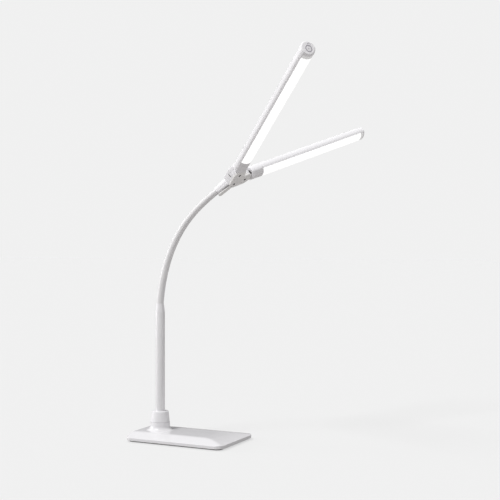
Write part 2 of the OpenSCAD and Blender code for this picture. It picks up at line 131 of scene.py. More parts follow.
def quads(rows, columns, wrap_rows=False, wrap_columns=True):
    """Quads that join each point of a grid to its neighbours, as index rows."""
    r = np.arange(rows if wrap_rows else rows - 1)[:, None]
    c = np.arange(columns if wrap_columns else columns - 1)[None, :]
    r2, c2 = (r + 1) % rows, (c + 1) % columns
    corners = [r * columns + c, r * columns + c2, r2 * columns + c2, r2 * columns + c]
    return np.stack(corners, -1).reshape(-1, 4)


def loft(rings, middles=None):
    """A closed skin through rings of equal count: quads between neighbouring rings, and a fan of triangles
    from the middle of the first and the last ring, or from two given points. The rings are an array of
    stations by points by 3."""
    rings = np.asarray(rings, float)
    stations, count, _ = rings.shape
    if middles is None:
        middles = rings[[0, -1]].mean(1)
    points = np.concatenate([rings.reshape(-1, 3), middles])
    k = np.arange(count)
    first = np.stack([np.full(count, stations * count), (k + 1) % count, k], -1)
    last_ring = (stations - 1) * count
    last = np.stack([np.full(count, stations * count + 1), last_ring + k, last_ring + (k + 1) % count], -1)
    return points, [quads(stations, count), first, last]


def ring_loft(rings):
    """A closed skin like a bent ring: the last ring joins the first."""
    rings = np.asarray(rings, float)
    return rings.reshape(-1, 3), [quads(rings.shape[0], rings.shape[1], wrap_rows=True)]


def strip(outer, inner):
    """A closed thick sheet between two open grids of one size: both faces, both long edges and both ends."""
    outer, inner = np.asarray(outer, float), np.asarray(inner, float)
    stations, count, _ = outer.shape
    loop = np.concatenate([outer, inner[:, ::-1]], 1)
    k = np.arange(count - 1)
    width = 2 * count
    end = np.stack([k, k + 1, width - 2 - k, width - 1 - k], -1)
    return loop.reshape(-1, 3), [quads(stations, width), end[:, ::-1], end + (stations - 1) * width]


def turned_rings(profile, count=96, place=WORLD):
    """Rings of a turned form: each (radius, height) of the profile goes round the place's Z, so a point is
    radius times cosine, radius times sine, height."""
    profile = np.asarray(profile, float)
    angle = np.linspace(0, 2 * math.pi, count, endpoint=False)
    radius, height = profile[:, :1], profile[:, 1:2]
    local = np.stack([radius * np.cos(angle), radius * np.sin(angle), height + 0 * angle], -1)
    return place(local)


def turned(profile, count=96, place=WORLD, bored=False):
    """A turned solid from its profile. A bored one's profile is a closed loop, and the other's runs from
    near the axis at one end to near the axis at the other."""
    rings = turned_rings(profile, count, place)
    return ring_loft(rings) if bored else loft(rings)


def rounded(corners, radius, steps=6, closed=True):
    """A polygon with each corner replaced by an arc: points on the arc that touches both edges. radius is
    one number or one for each corner, and 0 keeps a corner sharp."""
    corners = np.asarray(corners, float)
    radii = np.broadcast_to(radius, len(corners))
    made = []
    for k, (corner, r) in enumerate(zip(corners, radii)):
        if r <= 0 or (not closed and k in (0, len(corners) - 1)):
            made.append(corner[None])
            continue
        a = corners[k - 1] - corner
        b = corners[(k + 1) % len(corners)] - corner
        a, b = a / np.linalg.norm(a), b / np.linalg.norm(b)
        half = math.acos(np.clip(a @ b, -1, 1)) / 2
        reach = r / math.tan(half)
        centre = corner + (a + b) / np.linalg.norm(a + b) * r / math.sin(half)
        start, stop = corner + a * reach - centre, corner + b * reach - centre
        t = np.linspace(0, 1, steps + 1)[:, None]
        angle = math.acos(np.clip(start @ stop / (r * r), -1, 1))
        arc = (np.sin((1 - t) * angle) * start + np.sin(t * angle) * stop) / math.sin(angle)
        made.append(centre + arc)
    return np.concatenate(made)


def inset(outline, distance):
    """A closed anticlockwise outline moved inwards: each point goes along the middle of its two edges'
    normals, far enough for both edges to move by the distance."""
    def normals(edges):
        edges = edges / np.linalg.norm(edges, axis=1, keepdims=True)
        return np.stack([-edges[:, 1], edges[:, 0]], 1)

    a, b = normals(outline - np.roll(outline, 1, 0)), normals(np.roll(outline, -1, 0) - outline)
    return outline + (a + b) / (1 + (a * b).sum(1, keepdims=True)) * distance


def slab(place, outline, middle, low, high, edge_low, edge_high, steps=5):
    """A closed slab over an anticlockwise outline, with both its edges rounded: a ring at the angle a goes in
    by the radius less radius times sine, and up by the radius less radius times cosine."""
    turn = np.linspace(0, math.pi / 2, steps + 1)
    levels = [(edge_low + 0.0004, low)]
    levels += [(edge_low * (1 - math.sin(a)), low + edge_low * (1 - math.cos(a))) for a in turn]
    levels += [(edge_high * (1 - math.cos(a)), high - edge_high * (1 - math.sin(a))) for a in turn]
    levels += [(edge_high + 0.0004, high)]
    rings = np.array([np.insert(inset(outline, distance), 2, z, 1) for distance, z in levels])
    return loft(place(rings), place([[*middle, low], [*middle, high]]))


def signed_volume(points, faces):
    """Six times the volume inside the faces: positive where they point outwards."""
    total = 0.0
    for group in faces:
        a = points[group[:, 0]]
        for k in range(1, group.shape[1] - 1):
            total += np.einsum("ij,ij->", a, np.cross(points[group[:, k]], points[group[:, k + 1]]))
    return total


def smooth(mesh):
    mesh.shade_smooth()
    mesh.set_sharp_from_angle(angle=SHARP)


def piece(name, skins, body=None, replaces=()):
    """Makes one object out of closed skins, turns each skin's faces outwards, and shades it smooth except
    along edges sharper than SHARP."""
    points, faces, base = [], [], 0
    for skin_points, skin_faces in skins:
        if signed_volume(skin_points - skin_points.mean(0), skin_faces) < 0:
            skin_faces = [group[:, ::-1] for group in skin_faces]
        points.append(skin_points)
        faces += [(group + base).tolist() for group in skin_faces]
        base += len(skin_points)
    mesh = bpy.data.meshes.new(name)
    mesh.from_pydata(np.concatenate(points).tolist(), [], [face for group in faces for face in group])
    mesh.validate()
    smooth(mesh)
    made = bpy.data.objects.new(name, mesh)
    bpy.context.scene.collection.objects.link(made)
    if replaces:
        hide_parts(*replaces)
    if body:
        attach(made, body)
    return made


def carve(made, skins, walls=None):
    """Cuts closed skins out of a piece, and keeps the result as its mesh. The cut's walls get a material of
    their own where one is given."""
    cutter = piece("cutter", skins)
    cut = made.modifiers.new("cut", "BOOLEAN")
    cut.operation, cut.solver, cut.object = "DIFFERENCE", "EXACT", cutter
    if walls:
        dress(cutter, walls)
        cut.material_mode = "TRANSFER"
    bpy.context.view_layer.update()
    whole = made.evaluated_get(bpy.context.evaluated_depsgraph_get())
    mesh = bpy.data.meshes.new_from_object(whole)
    made.modifiers.clear()
    made.data = mesh
    smooth(mesh)
    bpy.data.objects.remove(cutter)
    return made


# ---- shader maths

class Signal:
    """A socket that takes part in Python expressions: each operator adds a Math node to its tree."""

    def __init__(self, tree, socket):
        self.tree, self.socket = tree, socket

    def math(self, operation, other):
        return self.tree.add("Math", {0: self, 1: other}, operation=operation)

    def __add__(self, other):
        return self.math("ADD", other)

    def __mul__(self, other):
        return self.math("MULTIPLY", other)

    def __sub__(self, other):
        return self.math("SUBTRACT", other)

    def __rsub__(self, other):
        return self * -1.0 + other

    __radd__, __rmul__ = __add__, __mul__

    def ramp(self, low, high):
        """0 below low, 1 above high and smooth between them."""
        return self.tree.add("MapRange", {"Value": self, "From Min": low, "From Max": high},
                             interpolation_type="SMOOTHSTEP")


class Tree:
    """The node tree of a material or a world, with one method that adds any node."""

    def __init__(self, owner):
        owner.use_nodes = True
        self.nodes, self.links = owner.node_tree.nodes, owner.node_tree.links
        self.nodes.clear()

    def put(self, socket, value):
        """Sets a socket to a number or colour, or links a signal to it."""
        if isinstance(value, Signal):
            self.links.new(value.socket, socket)
        elif isinstance(value, tuple) and len(value) < len(socket.default_value):
            socket.default_value = (*value, 1.0)
        else:
            socket.default_value = value

    def add(self, kind, inputs, output=0, **settings):
        """Adds a shader node of a kind, sets it, and fills its inputs. Returns the output of that number or
        name as a signal, where the node has outputs."""
        node = self.nodes.new("ShaderNode" + kind)
        for key, value in settings.items():
            setattr(node, key, value)
        for key, value in inputs.items():
            self.put(node.inputs[key], value)
        if node.outputs:
            return Signal(self, node.outputs[output])


class Finish(Tree):
    """A new material with its principled shader. Its noises go by the piece's Object coordinates."""

    def __init__(self, name):
        self.material = bpy.data.materials.new(name)
        super().__init__(self.material)
        self.shader = self.nodes.new("ShaderNodeBsdfPrincipled")
        self.add("OutputMaterial", {"Surface": Signal(self, self.shader.outputs[0])})
        self.where = self.add("TexCoord", {}, "Object")

    def noise(self, scale, detail=3.0, rough=0.5, where=None):
        """Cloudy values about 0.5, scale to the metre."""
        return self.add("TexNoise", {"Vector": where or self.where, "Scale": scale, "Detail": detail,
                                     "Roughness": rough})

    def cells(self, scale, distance="EUCLIDEAN"):
        """Distance from the middles of scattered cells, scale to the metre."""
        return self.add("TexVoronoi", {"Vector": self.where, "Scale": scale}, "Distance", distance=distance)

    def blend(self, amount, first, second):
        """A colour between two, mixed channel by channel."""
        return self.add("Mix", {0: amount, 6: first, 7: second}, 2, data_type="RGBA")

    def bump(self, height, strength, distance):
        return self.add("Bump", {"Height": height, "Strength": strength, "Distance": distance})

    def set(self, **values):
        """Sets the shader's sockets by name, with spaces written as underscores, and gives the material."""
        for key, value in values.items():
            self.put(self.shader.inputs[key.replace("_", " ")], value)
        return self.material


def shaded(colour, share):
    """A colour times a share."""
    return tuple(c * share for c in colour)


def moulded_plastic(name, colour, shade=0.9, roughness=0.36):
    """Satin moulded plastic: faint flow clouds in its colour, a fine spark-eroded grain in its surface and
    slightly polished patches where hands have been."""
    tree = Finish(name)
    cloud = tree.noise(38.0, 2.0)
    rubbed = tree.noise(14.0, 4.0, 0.6).ramp(0.42, 0.72)
    amount = cloud * 0.5 + rubbed * 0.2
    return tree.set(Base_Color=tree.blend(amount, shaded(colour, 1), shaded(colour, shade)),
                    Roughness=cloud * 0.06 + rubbed * -0.07 + roughness,
                    Normal=tree.bump(tree.noise(2600.0, 1.0), 0.1, 0.00003), IOR=1.46)


def clouded(name, colour, share, grain, roughness, relief, fine=None, **more):
    """A finish that follows one noise, given by its scale, detail and roughness: its colour goes to a share
    of itself, its roughness rises from the first number by the second, and its relief is the same noise or a
    finer one, by a strength and a depth."""
    tree = Finish(name)
    cloud = tree.noise(*grain)
    return tree.set(Base_Color=tree.blend(cloud, shaded(colour, 1), shaded(colour, share)),
                    Roughness=cloud * roughness[1] + roughness[0],
                    Normal=tree.bump(tree.noise(*fine) if fine else cloud, *relief), **more)


def coated_metal(name, colour, roughness=0.3):
    """Powder-coated steel: a low orange-peel ripple and a colour that hardly changes."""
    return clouded(name, colour, 0.93, (20.0, 3.0), (roughness, 0.08), (0.06, 0.00006), (900.0, 2.0),
                   Coat_Weight=0.15, Coat_Roughness=0.2)


def soft_sleeve(name, colour):
    """Silicone sleeve: matt, a little dusty, with a very fine skin."""
    return clouded(name, colour, 0.93, (60.0, 5.0, 0.62), (0.42, 0.14), (0.08, 0.00005), (2600.0, 2.0),
                   IOR=1.42)


def cast_block(name, colour):
    """Cast weight: coarse sand-like skin."""
    return clouded(name, colour, 0.6, (1400.0, 4.0, 0.7), (0.55, 0.2), (0.5, 0.0002), Metallic=0.6)


def lamp_bead(name, colour):
    """Yellow gel over a light chip, with darker clouds in its colour."""
    return clouded(name, colour, 0.8, (1500.0, 1.0), (0.25, 0.2), (0.2, 0.0001))


def wire_skin(name, colour):
    """Thin wire insulation with a faint twist of gloss."""
    return clouded(name, colour, 0.75, (500.0, 2.0), (0.35, 0.2), (0.1, 0.0001))


def bare_metal(name, colour, roughness=0.3, metallic=1.0):
    """Plated or turned metal with fine scratches one way and darker spots."""
    tree = Finish(name)
    squeezed = tree.add("VectorMath", {0: tree.where, 1: (30.0, 900.0, 900.0)}, operation="MULTIPLY")
    scratches = tree.noise(1.0, 3.0, 0.6, squeezed)
    spots = tree.noise(300.0, 4.0, 0.6)
    return tree.set(Base_Color=tree.blend(spots.ramp(0.4, 0.8), colour, shaded(colour, 0.72)),
                    Metallic=metallic, Roughness=scratches * 0.16 + roughness - 0.08,
                    Normal=tree.bump(scratches, 0.12, 0.00005))


def closed_foam(name, colour):
    """Closed-cell foam: small round cells, each darker towards its sunken middle, painted shade in the pits.
    """
    tree = Finish(name)
    cells = tree.cells(900.0)
    return tree.set(Base_Color=tree.blend(cells.ramp(0.05, 0.6), shaded(colour, 0.55), colour),
                    Roughness=cells * 0.1 + 0.82, Normal=tree.bump(cells, 0.45, 0.0003))


def circuit_board(name, colour, track):
    """Lacquered board with faint square tracks."""
    tree = Finish(name)
    tracks = tree.cells(420.0, "CHEBYCHEV").ramp(0.3, 0.42)
    return tree.set(Base_Color=tree.blend(tracks, track, colour), Roughness=tracks * 0.15 + 0.3,
                    Normal=tree.bump(tracks, 0.2, 0.0001))


def frosted_light(name, colour, glow):
    """Opal diffuser: frosted white with faint clouds, that also glows."""
    tree = Finish(name)
    cloud, colour = tree.noise(25.0, 2.0), shaded(colour, 1)
    return tree.set(Base_Color=tree.blend(cloud, colour, shaded(colour, 0.97)),
                    Roughness=cloud * 0.08 + 0.5, Normal=tree.bump(tree.noise(3800.0, 1.0), 0.06, 0.00004),
                    Emission_Color=tree.blend(cloud, colour, shaded(colour, 0.96)), Emission_Strength=glow)


def dress(made, material):
    """Gives a piece or a CAD node one material."""
    made.data.materials.clear()
    made.data.materials.append(material)
    return made


def dress_nodes(finishes):
    """Gives CAD nodes, by name, one material each."""
    for node, material in finishes.items():
        dress(NODES[node], material)


# ---- sizes and colours a user can change

def length(name, text, default, low=0.0):
    return bpy.props.FloatProperty(name=name, description=text, default=default, min=low, unit="LENGTH",
                                   subtype="DISTANCE", precision=4)


def factor(name, text, default, high=1000.0):
    return bpy.props.FloatProperty(name=name, description=text, default=default, min=0.0, max=high)


def rotation(name, text, degrees):
    return bpy.props.FloatProperty(name=name, description=text, default=math.radians(degrees),
                                   unit="ROTATION", subtype="ANGLE")


def tint(name, text, default):
    return bpy.props.FloatVectorProperty(name=name, description=text, default=default, size=3, min=0.0,
                                         max=1.0, subtype="COLOR")


class LampBaseSizes(bpy.types.PropertyGroup):
    length: length("Length", "Length of the base", 0.180)
    width: length("Width", "Width of the base", 0.120)
    height: length("Height", "Height of the flat top above the table", 0.0135)
    rim_top: length("Rim height", "Height above the table where the upright rim ends", 0.0078)
    low: length("Lower edge", "Height of the cover's lower edge above the table", 0.0026)
    corner: length("Corner radius", "Radius of the base's corners in plan", 0.013)
    slope: length("Side slope", "Width of the gentle slope along each long side", 0.029)
    front: length("Front roll", "Length over which the top rolls down at the front end", 0.050)
    soft: length("Soft joint", "Height over which the slopes and the roll blend", 0.0010)
    wall: length("Wall", "Wall of the plastic cover", 0.0022)
    edge: length("Edge rounding", "Radius of the rounding along the rim's top", 0.0010)
    inlet: length("Inlet hole", "Diameter of the plug's hole", 0.005)
    inlet_rise: length("Inlet rise", "Height of the plug's hole above the inlet's underside", 0.0022)
    tube_hole: length("Stem hole", "Diameter of the hole under the stem", 0.0104)


class LampStemSizes(bpy.types.PropertyGroup):
    place: length("Place", "Stem's place along the base", -0.057, -1.0)
    diameter: length("Diameter", "Outer diameter of the stem tube", 0.016)
    wall: length("Wall", "Wall of the stem tube", 0.0012)
    top: length("Top", "Height of the tube's top above the table", 0.212)
    seat: length("Seat", "Depth to which the tube stands in its socket", 0.012)
    socket_diameter: length("Socket diameter", "Diameter of the socket that stands on the base", 0.033)
    socket_top: length("Socket top", "Height of the socket's top above the table", 0.027)
    fillet: length("Fillet", "Radius of the fillet where the socket meets the base", 0.0075)
    ring_height: length("Ring height", "Height of the loose ring on the socket", 0.018)
    ring_top: length("Ring top diameter", "Diameter of the ring's top", 0.028)
    ring_wall: length("Ring wall", "Wall of the loose ring", 0.0024)
    cone: length("Cone height", "Height of the cone between the tube and the neck", 0.0145)


class LampNeckSizes(bpy.types.PropertyGroup):
    low: length("Lower diameter", "Diameter of the neck where it leaves the stem", 0.0124)
    high: length("Upper diameter", "Diameter of the neck where it enters the hub", 0.0104)
    ferrule: length("Ferrule", "Distance from the last neck pivot to the sleeve's end", 0.0062)


class LampHubSizes(bpy.types.PropertyGroup):
    reach: length("Reach", "Distance from the last neck pivot to the fold pivots", 0.052)
    rise: length("Neck rise", "Height of the neck's axis above the bars' axes", 0.003)
    lobe: length("Lobe radius", "Radius of the round lobe about each pivot", 0.013)
    gap: length("Pivot gap", "Distance between the two fold pivots", 0.030)
    high: length("Top", "Height of the hub's top above the bars' axes", 0.012)
    split: length("Split", "Depth of the joint between cover and plate below the bars' axes", 0.0033)
    pocket: length("Pocket", "Height of the knuckles' pocket above the bars' axes", 0.0048)
    deep: length("Underside", "Depth of the plate's underside below the bars' axes", 0.0065)
    web: length("Web length", "Distance from the pivots back to the web's rear edge", 0.0245)
    web_half: length("Web half width", "Half the width of the web's rear edge", 0.0085)
    flat_side: factor("Flat side", "How square the boss's lower half is", 0.2, 0.41)
    boss: length("Boss length", "Distance the boss starts in front of the last neck pivot", 0.004)
    tongue: length("Tongue reach", "Distance from the pivots back to the middle of the tongue's end", 0.044)
    tongue_half: length("Tongue half width", "Half the width of the plate's tongue", 0.006)
    tongue_thick: length("Tongue thickness", "Thickness of the plate's tongue", 0.002)
    edge: length("Edge rounding", "Radius of the rounding along the hub's top edge", 0.0016)
    slot: length("Slot", "Distance of the relief slot along the flank from the rear corner", 0.0173)
    slot_low: length("Slot depth", "Depth of the slot's lower end below the bars' axes", 0.00055)
    slot_high: length("Slot height", "Height of the slot's upper end above the bars' axes", 0.00635)
    recess: length("Screw recess", "Diameter of the recesses over the screws", 0.0048)
    rear_screw: length("Rear screw", "Distance from the pivots back to the rear screw", 0.018)


class LampBarSizes(bpy.types.PropertyGroup):
    length: length("Length", "Distance from a fold pivot to the bar's far end", 0.306)
    diameter: length("Diameter", "Diameter of the bars", 0.02498)
    wall: length("Wall", "Wall of the bar's housing", 0.0016)
    disc_half: length("Disc", "Half the thickness of the hinge disc and its arm", 0.003)
    root_gap: length("Root gap", "Gap between the hub's lobe and the root collar", 0.0010)
    root: length("Root", "Distance from the pivot to the end of the root collar", 0.020)
    diffuser_start: length("Diffuser start", "Distance from the pivot to the diffuser", 0.039)
    diffuser_depth: length("Diffuser depth", "Depth of the diffuser's lowest line below the axis", 0.0095)
    unlit: length("Unlit end", "Length of the diffuser's end past the last lamp", 0.006)
    lip: length("Lip depth", "Depth of the housing's lips below the bar's axis", 0.003)
    cap: length("Cap length", "Length of the cap at the bar's far end", 0.009)
    cap_soft: length("Cap rounding", "Radius of the rounding round the cap's face", 0.0024)
    slant: rotation("Slant", "Angle by which the caps' faces look down", 14)
    touch: length("Touch ring", "Outer diameter of the touch ring", 0.0112)
    touch_band: length("Touch band", "Width of the touch ring's band", 0.0012)
    mode: length("Mode ring", "Outer diameter of the mode ring", 0.0058)
    mode_band: length("Mode band", "Width of the mode ring's band", 0.0010)
    mode_side: length("Mode ring side", "Distance of the mode ring beside the touch ring", 0.0033)
    mode_rise: length("Mode ring rise", "Distance of the mode ring above the touch ring", 0.0055)
    board_deep: length("Touch board", "Depth of the touch board behind the face", 0.0022)


class LampFinishes(bpy.types.PropertyGroup):
    # The base, collar ring, hub and bars get lighter or darker copies of this colour: painted light and shade
    # for how light falls on each piece.
    white: tint("White plastic", "Colour of the base cover, hub and bars", (0.88, 0.87, 0.89))
    tube: tint("Stem coat", "Colour of the coated stem tube", (0.88, 0.87, 0.885))
    sleeve: tint("Neck sleeve", "Colour of the neck's soft sleeve", (0.86, 0.85, 0.86))
    # Painted light: lighter than the white plastic, standing for the light the plate gets from below.
    grey: tint("Plate colour painted lighter", "Colour of the hub's lower plate", (0.96, 0.945, 0.935))
    ring: tint("Touch ring", "Colour of the ring round the touch area", (0.34, 0.32, 0.37))
    light: tint("Diffuser", "Colour of the diffusers", (0.96, 0.96, 0.96))
    glow: factor("Glow", "Strength of the diffusers' light", 0.7)


class LampStageSizes(bpy.types.PropertyGroup):
    azimuth: rotation("Azimuth", "Camera's direction round the lamp", 25.9)
    distance: length("Distance", "Camera's distance from the origin along its view", 1.602)
    height: length("Height", "Camera's height above the table", 0.317)
    aside: length("Aside", "Camera's shift to its right of the origin", 0.1008)
    lens: factor("Lens", "Focal length in millimetres", 69.19)
    floor: length("Floor", "Half the width of the floor", 30.0)
    backdrop: factor("Backdrop", "Grey of floor and backdrop", 0.875, 1.0)
    bounce: tint("Bounce", "Colour of the floor as it lights the lamp", (0.38, 0.37, 0.365))
    ambient: factor("Ambient", "Strength of the light from all round", 0.58)
    horizon: factor("Horizon", "Brightness of the room's horizon in reflections", 0.02)
    overhead: factor("Overhead", "Brightness of the room overhead in reflections", 0.83)
    key: factor("Key light", "Strength of the light from the upper left", 1.85)
    key_rise: rotation("Key height", "Height of the key light above the horizon", 58)
    key_side: rotation("Key swing", "Turn of the key light from the camera's left towards it", 35)
    key_size: rotation("Key size", "Width of the key light as an angle", 16)
    window: factor("Window", "Strength of the low light from the left", 1.0)
    window_rise: rotation("Window height", "Height of the window light above the horizon", 10)
    window_side: rotation("Window swing", "Turn of the window light from the camera's left towards it", -18)
    window_size: rotation("Window size", "Width of the window light as an angle", 14)


GROUPS = {"lamp_base": LampBaseSizes, "lamp_stem": LampStemSizes, "lamp_neck": LampNeckSizes,
          "lamp_hub": LampHubSizes, "lamp_bar": LampBarSizes, "lamp_finish": LampFinishes,
          "lamp_stage": LampStageSizes}


# ---- base

def plan_outline(long, wide, radius, count=100):
    """A rounded rectangle as points: its corners' arcs, and straight sides cut into equal steps."""
    radius = max(min(radius, long / 2 - 1e-5, wide / 2 - 1e-5), 2e-5)
    quarter = np.linspace(0, math.pi / 2, 13)
    made = []
    for k, (sx, sy) in enumerate([(1, 1), (-1, 1), (-1, -1), (1, -1)]):
        angle = quarter + k * math.pi / 2
        centre = np.array([sx * (long / 2 - radius), sy * (wide / 2 - radius)])
        made.append(centre + radius * np.stack([np.cos(angle), np.sin(angle)], -1))
    sides = []
    for k, arc in enumerate(made):
        start, stop = arc[-1], made[(k + 1) % 4][0]
        t = np.linspace(0, 1, count + 1)[1:-1, None]
        sides += [arc, start + (stop - start) * t]
    return np.concatenate(sides)


def base_top(size, points, drop=0.0):
    """Height of the base's top at plan points: the lowest of the flat top, the roll that falls with the
    square of the distance past its start, and the two side slopes, joined by a soft minimum."""
    x, y = points[:, 0], np.abs(points[:, 1])
    fall = size.height - size.rim_top
    past = np.maximum(x - (size.length / 2 - size.front), 0) / size.front
    roll = size.height - fall * past ** 2
    slope = size.rim_top + fall * (size.width / 2 - y) / size.slope
    near = np.maximum(size.soft - np.abs(roll - slope), 0) / size.soft
    return np.minimum(roll, slope) - near ** 2 * size.soft / 4 - drop


def base_skin(size):
    """The cover as one closed shell: rings from the middle of the top out to the rim, down it, in under its
    lower edge, and back to the middle under the top at the wall's distance."""
    def ring(inset, height):
        flat = plan_outline(size.length - 2 * inset, size.width - 2 * inset, size.corner - inset)
        return np.insert(flat, 2, height(flat) if callable(height) else height, 1)

    def top(inset):
        lost = size.edge - math.sqrt(max(size.edge ** 2 - max(size.edge - inset, 0) ** 2, 0))
        return ring(inset, lambda flat: base_top(size, flat, lost))

    core = size.width / 2 - 0.0005
    insets = np.concatenate([np.linspace(core, 0.033, 10), np.linspace(0.032, 0.0017, 42),
                             size.edge * (1 - np.sin(np.linspace(0, math.pi / 2, 7)))])
    rings = [top(inset) for inset in insets]
    rings += [ring(0.0, size.low + 0.0004), ring(0.0002, size.low + 0.0001), ring(0.0006, size.low),
              ring(size.wall, size.low)]
    rings += [ring(inset, lambda flat: base_top(size, flat, size.wall))
              for inset in (size.wall, 0.006, 0.015, 0.029, core)]
    return loft(rings)


def socket_profile(size, base):
    """Closed profile of the stem socket: bore, seat, top with a small round, wall, and a quarter-circle
    fillet down to the base."""
    r, f = size.socket_diameter / 2, size.fillet
    bore, sunk = size.diameter / 2 + 0.0001, base.height - 0.0012
    angle = np.linspace(math.pi, 1.5 * math.pi, 13)
    fillet = np.stack([r + f + f * np.cos(angle), base.height + f + f * np.sin(angle)], -1)
    crown = rounded([[bore, size.socket_top], [r, size.socket_top], [r, base.height + f]], 0.0005, 4, False)
    under = [[r + f + 0.0005, base.height - 0.0001], [r + f, sunk], [bore, sunk]]
    return np.concatenate([crown, fillet[1:], under])


class LAMP_OT_base(bpy.types.Operator):
    """Builds the base cover, with its stem socket and power inlet hole, and finishes the parts under it"""

    bl_idname = "lamp.base"
    bl_label = "Base"

    def execute(self, context):
        size, stem = context.scene.lamp_base, context.scene.lamp_stem
        # Painted shade: the base cover and its socket get a darker copy of the white plastic, for how light
        # falls on them.
        plastic = moulded_plastic("base plastic painted darker", shaded(context.scene.lamp_finish.white, 0.885), 0.97, 0.16)
        at_stem = WORLD.moved(x=stem.place)
        cover = piece("base_cover_skin", [base_skin(size)], "root", ["base_cover"])
        jack_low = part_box("dc_jack")[0].z
        inlet = Place((-size.length / 2, 0, jack_low + size.inlet_rise), (0, 1, 0), (0, 0, 1), (1, 0, 0))
        plug_hole = [[size.inlet / 2, -0.001], [size.inlet / 2, 0.004]]
        tube_hole = [[size.tube_hole / 2, -0.004], [size.tube_hole / 2, 0.002]]
        carve(cover, [turned(plug_hole, 48, inlet), turned(tube_hole, 48, at_stem.moved(z=size.height))])
        dress(cover, plastic)
        socket = turned(socket_profile(stem, size), 128, at_stem, bored=True)
        dress(piece("stem_socket", [socket], "root"), plastic)
        dress_nodes({"base_plate": coated_metal("base plate coat", (0.05, 0.05, 0.055), 0.45),
                     "non_slip_pad": closed_foam("pad foam", (0.07, 0.07, 0.075)),
                     "counterweight": cast_block("cast weight", (0.2, 0.2, 0.21)),
                     "base_screws": bare_metal("zinc screws", (0.62, 0.62, 0.64)),
                     "driver_board": circuit_board("driver board", BOARD_GREEN, TRACK_GREEN),
                     "dc_jack": moulded_plastic("inlet plastic", (0.02, 0.02, 0.022), 0.7, 0.3)})
        return {"FINISHED"}


# ---- stem

class LAMP_OT_stem(bpy.types.Operator):
    """Builds the stem tube, the loose ring at its foot and the cone at its top"""

    bl_idname = "lamp.stem"
    bl_label = "Stem"

    def execute(self, context):
        size, neck, finish = context.scene.lamp_stem, context.scene.lamp_neck, context.scene.lamp_finish
        at_stem = WORLD.moved(x=size.place)
        r, inner, top = size.diameter / 2, size.diameter / 2 - size.wall, size.top
        low, wall = size.socket_top - size.seat, size.ring_wall
        tube = rounded([[inner, low], [r, low], [r, top], [inner, top]], [0.0002, 0.0003, 0.0003, 0.0002], 3)
        foot, head, bore = size.socket_diameter / 2 - 0.0002, size.ring_top / 2, r + 0.00015
        ring_low, ring_high = size.socket_top + 0.0002, size.socket_top + size.ring_height
        ring = rounded([[foot, ring_low], [head, ring_high], [bore, ring_high], [bore, ring_high - 0.003],
                        [head - wall, ring_high - 0.0032], [foot - wall, ring_low]],
                       [0.0005, 0.0013, 0.0004, 0.0002, 0.0005, 0.0002], 6)
        t = np.linspace(0, 1, 24)
        ease = t * t * (3 - 2 * t) * 0.35 + t * 0.65
        cone = np.stack([r + (neck.low / 2 - r) * ease, top + size.cone * t], -1)
        wires, plug, plug_low = 0.0026, inner - 0.0001, top - 0.011
        inside = [[wires, top + size.cone], [wires, plug_low], [plug, plug_low], [plug, top + 0.0001],
                  [r - 0.0003, top + 0.0001]]
        parts = [("stem_tube", tube, 96, "white_steel", coated_metal("stem coat", finish.tube)),
                 # Painted shade: the collar ring gets a darker copy of the white plastic, for how light falls
                 # on it.
                 ("collar_ring", ring, 128, "white_shell",
                  moulded_plastic("ring plastic painted darker", shaded(finish.white, 0.92), 0.95)),
                 ("neck_reducer", np.concatenate([cone, inside]), 96, "white_shell",
                  moulded_plastic("cone plastic", finish.white, 0.95))]
        for node, profile, count, slot, material in parts:
            skin = turned(profile, count, at_stem, bored=True)
            dress(piece(node + "_skin", [skin], "root", [node]), material)
        dress_nodes({"stem_insert": bare_metal("brass insert", (0.7, 0.52, 0.25), 0.28),
                     "stem_nipple": bare_metal("brass nipple", (0.72, 0.54, 0.26), 0.28),
                     "stem_nut": bare_metal("plated nut", (0.6, 0.6, 0.62)),
                     "stem_lead": wire_skin("wire insulation", (0.35, 0.03, 0.03))})
        return {"FINISHED"}


# ---- neck

def neck_tube(start, bend, stop, r0, r1, stations=20, count=56):
    """A stretch of the neck: rings across a quadratic curve that starts and stops halfway along two links
    and leans on their shared pivot. A point is the curve plus the radius times cosine of one normal and sine
    of the other."""
    t = np.linspace(0, 1, stations)[:, None]
    centre = (1 - t) ** 2 * start + 2 * t * (1 - t) * bend + t ** 2 * stop
    heading = (1 - t) * (bend - start) + t * (stop - bend)
    heading /= np.linalg.norm(heading, axis=1, keepdims=True)
    side = np.cross(bend - start, stop - bend)
    side /= np.linalg.norm(side)
    other = np.cross(heading, side)
    angle = np.linspace(0, 2 * math.pi, count, endpoint=False)
    radius = (r0 + (r1 - r0) * t)[:, None]
    spread = np.cos(angle)[None, :, None] * side + np.sin(angle)[None, :, None] * other[:, None]
    return loft(centre[:, None] + radius * spread)


class LAMP_OT_neck(bpy.types.Operator):
    """Builds the neck's soft sleeve, one stretch for each pivot"""

    bl_idname = "lamp.neck"
    bl_label = "Neck"

    def execute(self, context):
        size, hub, stem = context.scene.lamp_neck, context.scene.lamp_hub, context.scene.lamp_stem
        pivots = [joint_point("neck_swing")] + [joint_point(name) for name in NECK_JOINTS]
        middles = [(a + b) / 2 for a, b in zip(pivots, pivots[1:])]
        foot = np.array([stem.place, 0, stem.top + stem.cone])
        ferrule = hub_place()([-hub.reach + size.ferrule, 0, hub.rise])
        points = [foot] + middles + [ferrule]
        share = np.linspace(0, 1, 2 * len(pivots) - 1)
        radii = (size.low + (size.high - size.low) * np.concatenate([[0], share[1::2], [1]])) / 2
        sleeve = soft_sleeve("sleeve silicone", context.scene.lamp_finish.sleeve)
        for k, pivot in enumerate(pivots):
            skin = neck_tube(points[k], pivot, points[k + 1], radii[k], radii[k + 1])
            replaced = ["neck_link_%d" % k] if k else []
            made = piece("neck_sleeve_%d" % k, [skin], None, replaced)
            start, stop = (end + (pivot - end) * 0.1 for end in points[k:k + 2])
            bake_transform(made)
            dress(made, sleeve)
        dress(NODES["neck_ferrule"], sleeve)
        return {"FINISHED"}


# ---- hub

